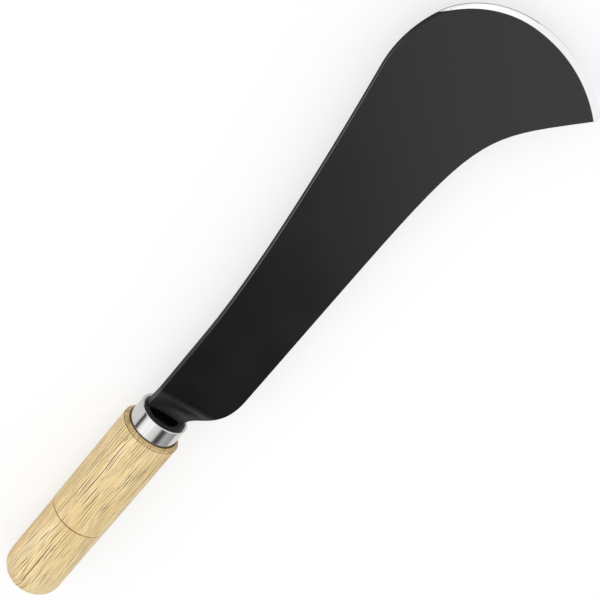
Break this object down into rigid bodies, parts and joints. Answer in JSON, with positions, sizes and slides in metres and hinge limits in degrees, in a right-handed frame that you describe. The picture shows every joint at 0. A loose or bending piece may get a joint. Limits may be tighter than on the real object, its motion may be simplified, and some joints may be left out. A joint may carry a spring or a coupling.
{
  "type": "billhook",
  "caption": "Billhook: black tapered blade with a ground crescent edge and dished neck, tanged into a turned wooden grip with a bright steel ferrule and a dark collar.",
  "frame": {"origin": "on the grip's axis, at the rear edge of the ring scored round the grip", "axes": "+X along the grip's axis from the butt towards the blade, +Y towards the blade's spine, +Z square to the blade's face, up when the tool lies flat"},
  "size_m": [0.4119, 0.0987, 0.0334],
  "materials": {
    "wood": "smooth",
    "bright_steel": "brushed",
    "dark_collar": "satin",
    "black_plate": "matte"
  },
  "bodies": {
    "root": {"grip": "wood", "ferrule": "bright_steel", "collar": "dark_collar", "blade": "black_plate"}
  },
  "joints": []
}
